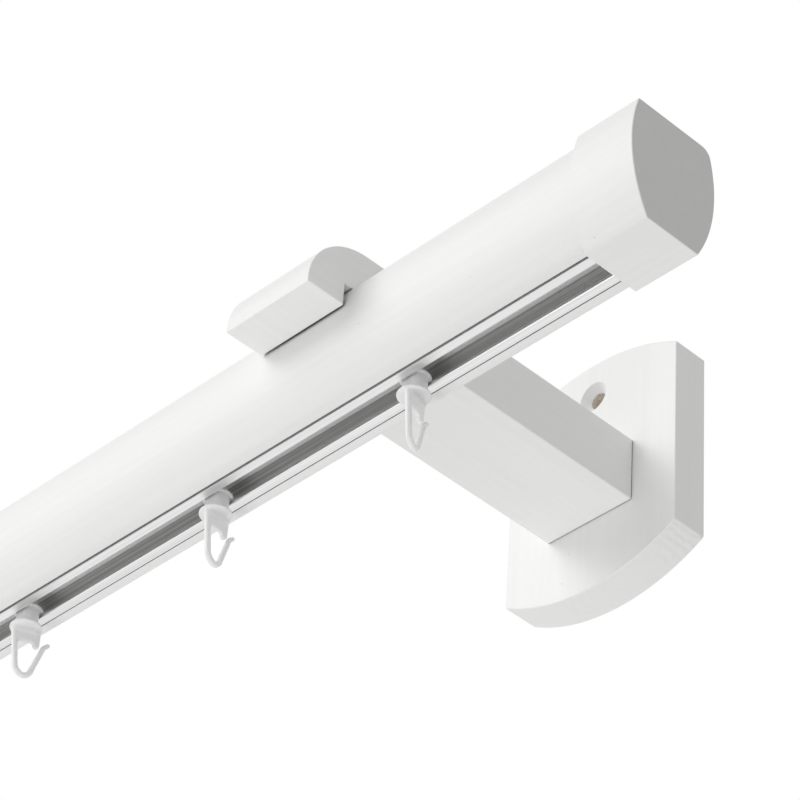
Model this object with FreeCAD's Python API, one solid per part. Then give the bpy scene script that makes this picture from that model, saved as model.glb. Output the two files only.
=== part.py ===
import FreeCAD, Part
import math
import os

# Wooden curtain rod with an inner glider track, held to the wall by two wooden brackets.
# Frame: X along the rod, Y towards the wall, Z up. The origin is on the wall, midway between
# the two wall screws. The pieces are drawn about the axis of the pole and then moved there.

# Pole: a bulging bar with a flat top and a flat underside
POLE_LENGTH = 1000.0
POLE_HEIGHT = 28.0
POLE_TOP_WIDTH = 21.6
POLE_BOTTOM_WIDTH = 16.0
POLE_SIDE_BULGE = 3.25
POLE_EDGE_ROUND = 0.8

# Glider track: an aluminium extrusion let into the underside of the pole
TRACK_WIDTH = 10.1
TRACK_WALL = 0.8
LIP_THICKNESS = 1.0
CHAMBER_HEIGHT = 6.2
TRACK_ROOF = 1.0
SLOT_WIDTH = 5.2
GROOVE_GAP = 0.5
TRACK_OFFSET = 0.2

# Screws that hold the track in its groove
TRACK_SCREW_COUNT = 4
TRACK_SCREW_INSET = 65.0
TRACK_SCREW_DIAMETER = 3.0
TRACK_SCREW_LENGTH = 12.0
TRACK_SCREW_HEAD_DIAMETER = 5.0
TRACK_SCREW_HEAD_HEIGHT = 1.5

# End caps and the dowels that hold them
CAP_LENGTH = 18.0
CAP_STEP = 2.4
CAP_TOP_EXTRA = 1.0
CAP_SIDE_BULGE = 3.45
CAP_EDGE_ROUND = 0.5
CAP_REAR_ROUND = 3.0
CAP_DOWEL_DIAMETER = 8.0
CAP_DOWEL_IN_CAP = 12.0
CAP_DOWEL_IN_POLE = 18.0
CAP_DOWEL_HEIGHT = 4.0

# Brackets: an arm that hooks over the pole and a plate on the wall
BRACKET_INSET = 86.0
PROJECTION = 94.7
ARM_WIDTH = 28.0
ARM_HEIGHT = 18.5
ARM_EDGE_ROUND = 0.6
NOTCH_DEPTH = 6.2
NOTCH_GAP = 0.1
LIP_LENGTH = 11.3
NOSE_RADIUS = 17.2
PLATE_WIDTH = 56.6
PLATE_SIDE_HEIGHT = 55.4
PLATE_BULGE = 7.7
PLATE_THICKNESS = 10.3
PLATE_RISE = 5.6
PLATE_EDGE_ROUND = 0.6
WALL_HOLE_DIAMETER = 4.6
WALL_HOLE_MOUTH = 8.7
WALL_HOLE_RISE = 24.8

# Fasteners inside the brackets
ARM_SCREW_DIAMETER = 4.5
ARM_SCREW_HEAD_DIAMETER = 8.8
ARM_SCREW_LENGTH = 45.0
PEG_DIAMETER = 6.0
PEG_SPACING = 17.0
PEG_IN_PLATE = 6.5
PEG_IN_ARM = 13.5
POLE_SCREW_DIAMETER = 4.0
POLE_SCREW_HEAD_DIAMETER = 7.6
POLE_SCREW_LENGTH = 24.0
SCREW_TIP_LENGTH = 4.0
SCREW_TIP_SHARE = 0.25
HOLE_CLEARANCE = 0.05
HOLE_END_GAP = 0.5

# Gliders: a round slider on the lips, bevelled above its thin rim, with an oblong neck down through
# the slot, which keeps the slider from turning when the hook swivels. The hook's pin snaps in, with
# its head sunk in the top.
FIRST_GLIDER_GAPS = [60.4, 66.6, 70.2]
GLIDER_SPACING = 98.0
GLIDER_COUNT = 10
SLIDER_SIDE_GAP = 0.4
SLIDER_THICKNESS = 1.6
SLIDER_RIM = 0.5
SLIDER_TOP_DIAMETER = 5.4
SLIDER_PLAY = 0.05
NECK_SIDE_GAP = 0.3
NECK_LENGTH = 6.6
PIN_DIAMETER = 2.5
PIN_CLEARANCE = 0.05
PIN_HEAD_DIAMETER = 3.5
PIN_HEAD_HEIGHT = 0.8
PIN_HEAD_SINK = 0.9
PIN_HEAD_SIDE_GAP = 0.2
PIN_END_PLAY = 0.1

# Hooks: a disc below the track with a rib and a web under it, a stem that is bent up into an open
# hook, and a lug at the web's end that guards the hook's mouth. Drops count from the disc's underside.
DISC_DIAMETER = 8.1
DISC_THICKNESS = 0.7
DISC_EDGE_ROUND = 0.25
DISC_DROP = 3.3
WIRE_DIAMETER = 1.6
HOOK_OFFSET = 0.15
STEM_REACH = 3.0
BEND_REACH = 1.3
BEND_DROP = 11.8
BOTTOM_REACH = 1.7
BOTTOM_DROP = 15.2
KINK_REACH = 5.1
KINK_DROP = 4.3
TIP_REACH = 6.2
TIP_DROP = 3.3
STEM_BEND_RADIUS = 2.0
BOTTOM_BEND_RADIUS = 1.6
KINK_BEND_RADIUS = 1.5
RIB_THICKNESS = 1.9
RIB_DROP = 1.2
WEB_THICKNESS = 1.3
WEB_DROP = 3.5
WEB_SLOPE = 0.2
LUG_WIDTH = 1.6
LUG_REACH = 3.95
LUG_DROP = 5.1
LUG_ROOT_RADIUS = 0.5
FIRST_HOOK_ANGLES = [107.0, 95.0, 68.0]
HOOK_ANGLES = [80.0, 98.0, 60.0, 110.0, 84.0, 101.0, 72.0]

# Heights and places that follow from the sizes above
POLE_TOP = POLE_HEIGHT / 2
POLE_BOTTOM = -POLE_HEIGHT / 2
TRACK_HEIGHT = LIP_THICKNESS + CHAMBER_HEIGHT + TRACK_ROOF
LIP_TOP = POLE_BOTTOM + LIP_THICKNESS
TRACK_TOP = POLE_BOTTOM + TRACK_HEIGHT
ROOF_UNDERSIDE = TRACK_TOP - TRACK_ROOF
ARM_BOTTOM = POLE_TOP - NOTCH_DEPTH
ARM_TOP = ARM_BOTTOM + ARM_HEIGHT
ARM_MIDDLE = (ARM_BOTTOM + ARM_TOP) / 2
PLATE_FRONT = PROJECTION - PLATE_THICKNESS
PLATE_MIDDLE = ARM_MIDDLE + PLATE_RISE
WALL_HOLE_HEIGHT = PLATE_MIDDLE + WALL_HOLE_RISE
SLIDER_BOTTOM = LIP_TOP + SLIDER_PLAY
SLIDER_TOP = SLIDER_BOTTOM + SLIDER_THICKNESS
DISC_TOP = POLE_BOTTOM - DISC_DROP
DISC_BOTTOM = DISC_TOP - DISC_THICKNESS
BRACKET_PLACES = {"right": POLE_LENGTH / 2 - BRACKET_INSET, "left": BRACKET_INSET - POLE_LENGTH / 2}

X_AXIS = FreeCAD.Vector(1, 0, 0)
Y_AXIS = FreeCAD.Vector(0, 1, 0)
Z_AXIS = FreeCAD.Vector(0, 0, 1)
SAME_PLACE = 1e-6


def vec(x, y, z):
    return FreeCAD.Vector(x, y, z)


def block(x0, x1, y0, y1, z0, z1):
    return Part.makeBox(x1 - x0, y1 - y0, z1 - z0, vec(x0, y0, z0))


def rod(diameter, start, end):
    run = end - start
    return Part.makeCylinder(diameter / 2, run.Length, start, run)


def edges_along(shape, axis):
    """Straight edges that run along the given axis."""
    chosen = []
    for edge in shape.Edges:
        if isinstance(edge.Curve, Part.Line):
            direction = edge.tangentAt(edge.FirstParameter)
            if direction.cross(axis).Length < SAME_PLACE:
                chosen.append(edge)
    return chosen


def edges_of_face(shape, axis, place):
    """Edges of the flat face that lies square to the axis at the given place."""
    for face in shape.Faces:
        if isinstance(face.Surface, Part.Plane):
            middle = face.CenterOfMass.dot(axis)
            square = face.normalAt(0, 0).cross(axis).Length < SAME_PLACE
            if square and abs(middle - place) < SAME_PLACE:
                return face.OuterWire.Edges
    raise ValueError("no flat face there")


def bulge_middle(start, end, bulge):
    """The point that stands off the middle of a chord, to its left seen along it."""
    along = (end - start).normalize()
    outward = vec(0, -along.z, along.y)
    return (start + end) * 0.5 + outward * bulge


def barrel(x0, length, height, top_width, bottom_width, bulge):
    """A bar along X with a flat top and underside and two bulging sides."""
    top_left = vec(x0, -top_width / 2, height / 2)
    top_right = vec(x0, top_width / 2, height / 2)
    low_left = vec(x0, -bottom_width / 2, -height / 2)
    low_right = vec(x0, bottom_width / 2, -height / 2)
    near_side = Part.Arc(low_left, bulge_middle(low_left, top_left, bulge), top_left)
    far_side = Part.Arc(top_right, bulge_middle(top_right, low_right, bulge), low_right)
    outline = Part.Wire([near_side.toShape(), Part.makeLine(top_left, top_right),
                         far_side.toShape(), Part.makeLine(low_right, low_left)])
    return Part.Face(outline).extrude(X_AXIS * length)


def pole_half_width():
    """Half the width of the pole where its sides bulge the most."""
    chord = math.hypot(POLE_HEIGHT, (POLE_TOP_WIDTH - POLE_BOTTOM_WIDTH) / 2)
    radius = (chord ** 2 / 4 + POLE_SIDE_BULGE ** 2) / (2 * POLE_SIDE_BULGE)
    lean = math.atan2((POLE_TOP_WIDTH - POLE_BOTTOM_WIDTH) / 2, POLE_HEIGHT)
    chord_middle = (POLE_TOP_WIDTH + POLE_BOTTOM_WIDTH) / 4
    return chord_middle - (radius - POLE_SIDE_BULGE) * math.cos(lean) + radius


def countersunk_screw(top, direction, diameter, head_diameter, length):
    """A wood screw whose flat head starts at top and whose point lies along direction."""
    head_height = (head_diameter - diameter) / 2
    shank = length - head_height - SCREW_TIP_LENGTH
    head = Part.makeCone(head_diameter / 2, diameter / 2, head_height, top, direction)
    body = Part.makeCylinder(diameter / 2, shank, top + direction * head_height, direction)
    tip = Part.makeCone(diameter / 2, diameter / 2 * SCREW_TIP_SHARE, SCREW_TIP_LENGTH,
                        top + direction * (head_height + shank), direction)
    return head.fuse([body, tip]).removeSplitter()


def countersunk_hole(top, direction, diameter, head_diameter, depth):
    """The hole for a countersunk screw, a little wider than the screw all round."""
    bore = diameter / 2 + HOLE_CLEARANCE
    mouth = head_diameter / 2 + HOLE_CLEARANCE
    cone = Part.makeCone(mouth, bore, mouth - bore, top, direction)
    drill = Part.makeCylinder(bore, depth + HOLE_END_GAP, top, direction)
    return cone.fuse(drill)


def cap_dowel_place(side):
    return vec(side * POLE_LENGTH / 2, 0, CAP_DOWEL_HEIGHT)


def cap_dowel(side):
    middle = cap_dowel_place(side)
    return rod(CAP_DOWEL_DIAMETER, middle - X_AXIS * side * CAP_DOWEL_IN_POLE,
               middle + X_AXIS * side * CAP_DOWEL_IN_CAP)


def cap_dowel_hole(side):
    middle = cap_dowel_place(side)
    return rod(CAP_DOWEL_DIAMETER + 2 * HOLE_CLEARANCE,
               middle - X_AXIS * side * (CAP_DOWEL_IN_POLE + HOLE_END_GAP),
               middle + X_AXIS * side * (CAP_DOWEL_IN_CAP + HOLE_END_GAP))


def track_screw_places():
    first = TRACK_SCREW_INSET - POLE_LENGTH / 2
    spacing = -2 * first / (TRACK_SCREW_COUNT - 1)
    return [vec(first + spacing * i, TRACK_OFFSET, ROOF_UNDERSIDE) for i in range(TRACK_SCREW_COUNT)]


def track_screw(place):
    head = Part.makeCylinder(TRACK_SCREW_HEAD_DIAMETER / 2, TRACK_SCREW_HEAD_HEIGHT,
                             place - Z_AXIS * TRACK_SCREW_HEAD_HEIGHT, Z_AXIS)
    shank_length = TRACK_SCREW_LENGTH - SCREW_TIP_LENGTH
    shank = Part.makeCylinder(TRACK_SCREW_DIAMETER / 2, shank_length, place, Z_AXIS)
    tip = Part.makeCone(TRACK_SCREW_DIAMETER / 2, TRACK_SCREW_DIAMETER / 2 * SCREW_TIP_SHARE,
                        SCREW_TIP_LENGTH, place + Z_AXIS * shank_length, Z_AXIS)
    return head.fuse([shank, tip]).removeSplitter()


def track_screw_hole(place):
    return Part.makeCylinder(TRACK_SCREW_DIAMETER / 2 + HOLE_CLEARANCE,
                             TRACK_SCREW_LENGTH + HOLE_END_GAP, place, Z_AXIS)


def pole_screw(x):
    return countersunk_screw(vec(x, 0, ARM_TOP), -Z_AXIS, POLE_SCREW_DIAMETER,
                             POLE_SCREW_HEAD_DIAMETER, POLE_SCREW_LENGTH)


def pole_screw_hole(x):
    return countersunk_hole(vec(x, 0, ARM_TOP), -Z_AXIS, POLE_SCREW_DIAMETER,
                            POLE_SCREW_HEAD_DIAMETER, POLE_SCREW_LENGTH)


def arm_screw(x):
    return countersunk_screw(vec(x, PROJECTION, ARM_MIDDLE), -Y_AXIS, ARM_SCREW_DIAMETER,
                             ARM_SCREW_HEAD_DIAMETER, ARM_SCREW_LENGTH)


def arm_screw_hole(x):
    return countersunk_hole(vec(x, PROJECTION, ARM_MIDDLE), -Y_AXIS, ARM_SCREW_DIAMETER,
                            ARM_SCREW_HEAD_DIAMETER, ARM_SCREW_LENGTH)


def peg_places(x):
    return [vec(x + side * PEG_SPACING / 2, PLATE_FRONT, ARM_MIDDLE) for side in (-1, 1)]


def peg(place):
    return rod(PEG_DIAMETER, place - Y_AXIS * PEG_IN_ARM, place + Y_AXIS * PEG_IN_PLATE)


def peg_hole(place):
    return rod(PEG_DIAMETER + 2 * HOLE_CLEARANCE, place - Y_AXIS * (PEG_IN_ARM + HOLE_END_GAP),
               place + Y_AXIS * (PEG_IN_PLATE + HOLE_END_GAP))


def pole():
    """The bar, with the groove for the track, the dowel holes and the screw holes."""
    bar = barrel(-POLE_LENGTH / 2, POLE_LENGTH, POLE_HEIGHT, POLE_TOP_WIDTH, POLE_BOTTOM_WIDTH,
                 POLE_SIDE_BULGE)
    bar = bar.makeFillet(POLE_EDGE_ROUND, edges_along(bar, X_AXIS))
    half_groove = TRACK_WIDTH / 2 + GROOVE_GAP
    groove = block(-POLE_LENGTH / 2, POLE_LENGTH / 2, -half_groove, half_groove, POLE_BOTTOM, TRACK_TOP)
    cuts = [groove] + [cap_dowel_hole(side) for side in (-1, 1)]
    cuts += [track_screw_hole(place) for place in track_screw_places()]
    cuts += [pole_screw_hole(x) for x in BRACKET_PLACES.values()]
    return bar.cut(cuts)


def track():
    """The extrusion: a channel that opens downwards through the slot between two lips."""
    half = POLE_LENGTH / 2
    half_width = TRACK_WIDTH / 2
    half_inside = half_width - TRACK_WALL
    half_slot = SLOT_WIDTH / 2
    middle = TRACK_OFFSET
    body = block(-half, half, middle - half_width, middle + half_width, POLE_BOTTOM, TRACK_TOP)
    slot = block(-half, half, middle - half_slot, middle + half_slot, POLE_BOTTOM, LIP_TOP)
    chamber = block(-half, half, middle - half_inside, middle + half_inside, LIP_TOP, ROOF_UNDERSIDE)
    return body.cut([slot, chamber] + [track_screw_hole(place) for place in track_screw_places()])


def at_rear_top(edge):
    return edge.CenterOfMass.y > 0 and edge.CenterOfMass.z > 0


def end_cap(side):
    """A block of the pole's form, a little larger all round, with a blind dowel hole."""
    x0 = POLE_LENGTH / 2 if side > 0 else -POLE_LENGTH / 2 - CAP_LENGTH
    cap = barrel(x0, CAP_LENGTH, POLE_HEIGHT + 2 * CAP_STEP, POLE_TOP_WIDTH + CAP_TOP_EXTRA,
                 POLE_BOTTOM_WIDTH, CAP_SIDE_BULGE)
    rear_top = [edge for edge in edges_along(cap, X_AXIS) if at_rear_top(edge)]
    others = [edge for edge in edges_along(cap, X_AXIS) if not at_rear_top(edge)]
    cap = cap.makeFillet(CAP_EDGE_ROUND, others)
    rear_top = [edge for edge in edges_along(cap, X_AXIS) if at_rear_top(edge)]
    cap = cap.makeFillet(CAP_REAR_ROUND, rear_top)
    outer_end = side * (POLE_LENGTH / 2 + CAP_LENGTH)
    cap = cap.makeFillet(CAP_EDGE_ROUND, edges_of_face(cap, X_AXIS, outer_end))
    return cap.cut(cap_dowel_hole(side))


def arm(x):
    """The beam: a rounded nose with a lip before the pole, a notch over it, a square end behind."""
    half = ARM_WIDTH / 2
    notch_half = pole_half_width() + NOTCH_GAP
    nose_y = -notch_half - LIP_LENGTH
    turn = math.sqrt(0.5) * NOSE_RADIUS
    centre_y = nose_y + NOSE_RADIUS
    centre_z = ARM_TOP - NOSE_RADIUS
    x0 = x - half
    low = vec(x0, nose_y, ARM_BOTTOM)
    round_start = vec(x0, nose_y, centre_z)
    round_middle = vec(x0, centre_y - turn, centre_z + turn)
    round_end = vec(x0, centre_y, ARM_TOP)
    corners = [round_end, vec(x0, PLATE_FRONT, ARM_TOP), vec(x0, PLATE_FRONT, ARM_BOTTOM),
               vec(x0, notch_half, ARM_BOTTOM), vec(x0, notch_half, POLE_TOP),
               vec(x0, -notch_half, POLE_TOP), vec(x0, -notch_half, ARM_BOTTOM), low, round_start]
    edges = [Part.makeLine(a, b) for a, b in zip(corners, corners[1:])]
    edges.append(Part.Arc(round_start, round_middle, round_end).toShape())
    beam = Part.Face(Part.Wire(edges)).extrude(X_AXIS * ARM_WIDTH)
    notch_edges = [edge for edge in edges_along(beam, Y_AXIS)
                   if abs(edge.CenterOfMass.y) < notch_half and edge.CenterOfMass.z < ARM_TOP - SAME_PLACE]
    long_edges = [edge for edge in edges_along(beam, Y_AXIS) if not any(edge.isSame(e) for e in notch_edges)]
    nose_bottom = [edge for edge in edges_along(beam, X_AXIS)
                   if edge.CenterOfMass.distanceToPoint(vec(x, nose_y, ARM_BOTTOM)) < SAME_PLACE]
    beam = beam.makeFillet(ARM_EDGE_ROUND, long_edges + nose_bottom)
    cuts = [pole_screw_hole(x), arm_screw_hole(x)] + [peg_hole(place) for place in peg_places(x)]
    return beam.cut(cuts)


def wall_plate(x):
    """The plate on the wall: straight sides, bulging top and bottom, a countersunk wall hole."""
    half = PLATE_WIDTH / 2
    low = PLATE_MIDDLE - PLATE_SIDE_HEIGHT / 2
    high = PLATE_MIDDLE + PLATE_SIDE_HEIGHT / 2
    front = PLATE_FRONT
    top = Part.Arc(vec(x - half, front, high), vec(x, front, high + PLATE_BULGE),
                   vec(x + half, front, high))
    bottom = Part.Arc(vec(x + half, front, low), vec(x, front, low - PLATE_BULGE),
                      vec(x - half, front, low))
    outline = Part.Wire([top.toShape(),
                         Part.makeLine(vec(x + half, front, high), vec(x + half, front, low)),
                         bottom.toShape(),
                         Part.makeLine(vec(x - half, front, low), vec(x - half, front, high))])
    plate = Part.Face(outline).extrude(Y_AXIS * PLATE_THICKNESS)
    rounded = edges_of_face(plate, Y_AXIS, front) + edges_along(plate, Y_AXIS)
    plate = plate.makeFillet(PLATE_EDGE_ROUND, rounded)
    wall_hole = countersunk_hole(vec(x, front, WALL_HOLE_HEIGHT), Y_AXIS, WALL_HOLE_DIAMETER,
                                 WALL_HOLE_MOUTH, PLATE_THICKNESS)
    cuts = [wall_hole, arm_screw_hole(x)] + [peg_hole(place) for place in peg_places(x)]
    return plate.cut(cuts)


def oblong(length, width, z0, z1):
    """An upright bar along X with half-round ends."""
    reach = (length - width) / 2
    ends = [rod(width, vec(x, 0, z0), vec(x, 0, z1)) for x in (-reach, reach)]
    return block(-reach, reach, -width / 2, width / 2, z0, z1).fuse(ends).removeSplitter()


def slider():
    """One glider at x = 0: a round plate over the lips and a neck down to the disc."""
    plate_diameter = TRACK_WIDTH - 2 * TRACK_WALL - 2 * SLIDER_SIDE_GAP
    rim_top = SLIDER_BOTTOM + SLIDER_RIM
    plate = rod(plate_diameter, vec(0, 0, SLIDER_BOTTOM), vec(0, 0, rim_top))
    bevel = Part.makeCone(plate_diameter / 2, SLIDER_TOP_DIAMETER / 2, SLIDER_TOP - rim_top,
                          vec(0, 0, rim_top), Z_AXIS)
    neck = oblong(NECK_LENGTH, SLOT_WIDTH - 2 * NECK_SIDE_GAP, DISC_TOP + PIN_END_PLAY, SLIDER_BOTTOM)
    bore = rod(PIN_DIAMETER + 2 * PIN_CLEARANCE, vec(0, 0, DISC_TOP), vec(0, 0, SLIDER_TOP))
    sink = rod(PIN_HEAD_DIAMETER + 2 * PIN_HEAD_SIDE_GAP, vec(0, 0, SLIDER_TOP - PIN_HEAD_SINK),
               vec(0, 0, SLIDER_TOP))
    return plate.fuse([bevel, neck]).cut([bore, sink]).removeSplitter()


def rounded_path(corners, radii):
    """A wire through the corners, with a tangent arc of the given radius at each inner one."""
    edges = []
    start = corners[0]
    for i, radius in enumerate(radii, start=1):
        before = (corners[i - 1] - corners[i]).normalize()
        after = (corners[i + 1] - corners[i]).normalize()
        half_angle = before.getAngle(after) / 2
        setback = radius / math.tan(half_angle)
        arc_start = corners[i] + before * setback
        arc_end = corners[i] + after * setback
        bisector = (before + after).normalize()
        arc_middle = corners[i] + bisector * (radius / math.sin(half_angle) - radius)
        edges.append(Part.makeLine(start, arc_start))
        edges.append(Part.Arc(arc_start, arc_middle, arc_end).toShape())
        start = arc_end
    edges.append(Part.makeLine(start, corners[-1]))
    return Part.Wire(edges)


def hook_wire():
    """The round stem, bent up at the bottom into an open hook with a ball end."""
    y = -HOOK_OFFSET
    corners = [vec(-STEM_REACH, y, DISC_BOTTOM + DISC_THICKNESS / 2),
               vec(-BEND_REACH, y, DISC_BOTTOM - BEND_DROP),
               vec(BOTTOM_REACH, y, DISC_BOTTOM - BOTTOM_DROP),
               vec(KINK_REACH, y, DISC_BOTTOM - KINK_DROP),
               vec(TIP_REACH, y, DISC_BOTTOM - TIP_DROP)]
    path = rounded_path(corners, [STEM_BEND_RADIUS, BOTTOM_BEND_RADIUS, KINK_BEND_RADIUS])
    section = Part.Wire(Part.makeCircle(WIRE_DIAMETER / 2, corners[0], corners[1] - corners[0]))
    wire = path.makePipeShell([section], True, False)
    return wire.fuse(Part.makeSphere(WIRE_DIAMETER / 2, corners[-1]))


def hook_web():
    """The web under the disc, and the lug that hangs from its end into the hook's mouth."""
    y = -HOOK_OFFSET - WEB_THICKNESS / 2
    top = DISC_BOTTOM + DISC_THICKNESS / 2
    lug_inner = LUG_REACH - LUG_WIDTH
    lug_round = DISC_BOTTOM - LUG_DROP + LUG_WIDTH / 2
    web_start = vec(-STEM_REACH, y, DISC_BOTTOM - WEB_DROP)
    web_end = vec(lug_inner, y, DISC_BOTTOM - WEB_DROP - WEB_SLOPE)
    sweep = rounded_path([web_start, web_end, vec(lug_inner, y, lug_round)], [LUG_ROOT_RADIUS])
    lug_tip = Part.Arc(vec(lug_inner, y, lug_round), vec(LUG_REACH - LUG_WIDTH / 2, y, DISC_BOTTOM - LUG_DROP),
                       vec(LUG_REACH, y, lug_round))
    outer = [vec(LUG_REACH, y, lug_round), vec(LUG_REACH, y, top), vec(-STEM_REACH, y, top), web_start]
    edges = sweep.Edges + [lug_tip.toShape()] + [Part.makeLine(a, b) for a, b in zip(outer, outer[1:])]
    return Part.Face(Part.Wire(edges)).extrude(Y_AXIS * WEB_THICKNESS)


def hook():
    """One hook at x = 0 with its opening towards +X: pin, disc, rib, web, lug and bent stem."""
    disc = rod(DISC_DIAMETER, vec(0, 0, DISC_BOTTOM), vec(0, 0, DISC_TOP))
    disc = disc.makeFillet(DISC_EDGE_ROUND, edges_of_face(disc, Z_AXIS, DISC_BOTTOM))
    head_bottom = SLIDER_TOP - PIN_HEAD_SINK + PIN_END_PLAY
    pin = rod(PIN_DIAMETER, vec(0, 0, DISC_TOP), vec(0, 0, head_bottom))
    head = Part.makeCone(PIN_HEAD_DIAMETER / 2, PIN_DIAMETER / 2, PIN_HEAD_HEIGHT,
                         vec(0, 0, head_bottom), Z_AXIS)
    rib = block(-STEM_REACH, LUG_REACH - LUG_WIDTH / 2, -HOOK_OFFSET - RIB_THICKNESS / 2,
                -HOOK_OFFSET + RIB_THICKNESS / 2, DISC_BOTTOM - RIB_DROP, DISC_BOTTOM + DISC_THICKNESS / 2)
    return disc.fuse([pin, head, rib, hook_wire(), hook_web()]).removeSplitter()


def glider_places():
    """Places of the gliders along X, from the right end of the pole to the left."""
    places = []
    x = POLE_LENGTH / 2
    for i in range(GLIDER_COUNT):
        x -= FIRST_GLIDER_GAPS[i] if i < len(FIRST_GLIDER_GAPS) else GLIDER_SPACING
        places.append(x)
    return places


def turned(shape, angle):
    copy = shape.copy()
    copy.rotate(vec(0, 0, 0), Z_AXIS, angle)
    return copy


def in_track(shape, x):
    copy = shape.copy()
    copy.translate(vec(x, TRACK_OFFSET, 0))
    return copy


def all_nodes():
    nodes = {"pole": pole(), "track": track()}
    nodes["track_screws"] = Part.makeCompound([track_screw(place) for place in track_screw_places()])
    nodes["end_cap_right"] = end_cap(1)
    nodes["end_cap_left"] = end_cap(-1)
    nodes["cap_dowels"] = Part.makeCompound([cap_dowel(side) for side in (-1, 1)])
    places = BRACKET_PLACES.values()
    for side, x in BRACKET_PLACES.items():
        nodes["bracket_arm_" + side] = arm(x)
        nodes["wall_plate_" + side] = wall_plate(x)
    nodes["arm_screws"] = Part.makeCompound([arm_screw(x) for x in places])
    nodes["arm_pegs"] = Part.makeCompound([peg(place) for x in places for place in peg_places(x)])
    nodes["pole_screws"] = Part.makeCompound([pole_screw(x) for x in places])
    plain_slider = slider()
    plain_hook = hook()
    angles = FIRST_HOOK_ANGLES + HOOK_ANGLES
    for number, x in enumerate(glider_places(), start=1):
        angle = angles[(number - 1) % len(angles)]
        nodes["glider_%02d" % number] = in_track(plain_slider, x)
        nodes["hook_%02d" % number] = in_track(turned(plain_hook, angle), x)
    return nodes


pole_axis_place = vec(0, -PROJECTION, -WALL_HOLE_HEIGHT)
os.makedirs("parts", exist_ok=True)
for name, shape in all_nodes().items():
    shape.translate(pole_axis_place)
    shape.exportStep("parts/" + name + ".step")
    print(name, "valid", shape.isValid(), "solids", len(shape.Solids), "volume", round(shape.Volume, 1))
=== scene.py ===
import math

import bmesh
import bpy
from mathutils import Matrix, Vector


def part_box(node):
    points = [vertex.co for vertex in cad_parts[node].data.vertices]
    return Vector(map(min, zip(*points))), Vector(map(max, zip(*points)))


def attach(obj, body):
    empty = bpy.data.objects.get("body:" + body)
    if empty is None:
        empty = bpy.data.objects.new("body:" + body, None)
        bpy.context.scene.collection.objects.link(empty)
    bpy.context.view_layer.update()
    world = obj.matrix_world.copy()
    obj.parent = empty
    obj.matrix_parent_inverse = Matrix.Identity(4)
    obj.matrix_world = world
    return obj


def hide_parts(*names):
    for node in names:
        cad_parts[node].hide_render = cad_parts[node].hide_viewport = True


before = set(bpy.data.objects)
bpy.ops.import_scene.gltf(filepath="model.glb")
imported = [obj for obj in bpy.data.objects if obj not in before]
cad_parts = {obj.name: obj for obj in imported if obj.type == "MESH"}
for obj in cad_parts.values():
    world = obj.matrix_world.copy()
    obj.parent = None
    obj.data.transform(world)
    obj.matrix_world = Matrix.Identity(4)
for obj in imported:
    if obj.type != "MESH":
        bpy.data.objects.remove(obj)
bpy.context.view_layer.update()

# The pole is a bar of solid wood, planed to a flat top and underside and two bulging sides, and
# ploughed below for the track. It is sanded and sprayed with white lacquer, which softens its
# edges and fills all but a trace of the grain.
mm = 0.001
pole_low, pole_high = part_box("pole")
pole_axis = (pole_low + pole_high) / 2
pole_top_width = 21.6 * mm
pole_bottom_width = 16.0 * mm
pole_side_bulge = 3.25 * mm
pole_edge_round = 0.5 * mm
groove_front_gap = 0.7 * mm
groove_back_gap = 0.2 * mm
track_low, track_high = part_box("track")
past_end = 1 * mm
arc_steps = 28
join_distance = 0.005 * mm
grain_width = 1.6 * mm
grain_length = 70 * mm
pole_grain_depth = 0.003 * mm
peel_width = 1.1 * mm
peel_depth = 0.006 * mm
dust_spacing = 9 * mm
# The painted shade in narrow joints: how far it looks for nearby surfaces, and the openness over which
# it fades in.
joint_reach = 1.5 * mm
shut_joint = 0.25
open_joint = 0.58


def deselect_all():
    if bpy.context.mode != "OBJECT":
        bpy.ops.object.mode_set(mode="OBJECT")
    bpy.ops.object.select_all(action="DESELECT")


def edit(piece):
    """Opens one piece for editing, with nothing in it selected."""
    deselect_all()
    piece.select_set(True)
    bpy.context.view_layer.objects.active = piece
    bpy.ops.object.mode_set(mode="EDIT")
    bpy.ops.mesh.select_all(action="DESELECT")


def select(piece, kind, test):
    """Selects the vertices, edges or faces of the piece being edited that pass the test."""
    bpy.ops.mesh.select_mode(type=kind)
    bpy.ops.mesh.select_all(action="DESELECT")
    mesh = bmesh.from_edit_mesh(piece.data)
    parts = {"VERT": mesh.verts, "EDGE": mesh.edges, "FACE": mesh.faces}[kind]
    for part in parts:
        if test(part):
            part.select_set(True)
    bmesh.update_edit_mesh(piece.data)


def middle(part):
    return sum((vertex.co for vertex in part.verts), Vector()) / len(part.verts)


def runs_along(edge, axis):
    """True if an edge is parallel to an axis, given by its number."""
    run = (edge.verts[1].co - edge.verts[0].co).normalized()
    return abs(run[axis]) > 0.999


def near(a, b, room=0.02 * mm):
    return abs(a - b) < room


def named(name):
    """Names the piece that was just added and puts its place into its mesh."""
    piece = bpy.context.object
    piece.name = piece.data.name = name
    bpy.ops.object.transform_apply()
    return piece


def block(name, low, high):
    """A cube primitive drawn out between two corners."""
    low, high = Vector(low), Vector(high)
    deselect_all()
    bpy.ops.mesh.primitive_cube_add(size=1, location=(low + high) / 2)
    bpy.context.object.scale = high - low
    return named(name)


def round_edges(piece, radius, segments, test):
    edit(piece)
    select(piece, "EDGE", test)
    bpy.ops.mesh.bevel(offset=radius, segments=segments, affect="EDGES")
    deselect_all()


def cut(piece, cutter):
    """Takes the cutter's form out of a piece."""
    deselect_all()
    bpy.context.view_layer.objects.active = piece
    modifier = piece.modifiers.new("cut", "BOOLEAN")
    modifier.operation = "DIFFERENCE"
    modifier.solver = "MANIFOLD"
    modifier.object = cutter
    bpy.ops.object.modifier_apply(modifier=modifier.name)
    bpy.data.objects.remove(cutter)


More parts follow.
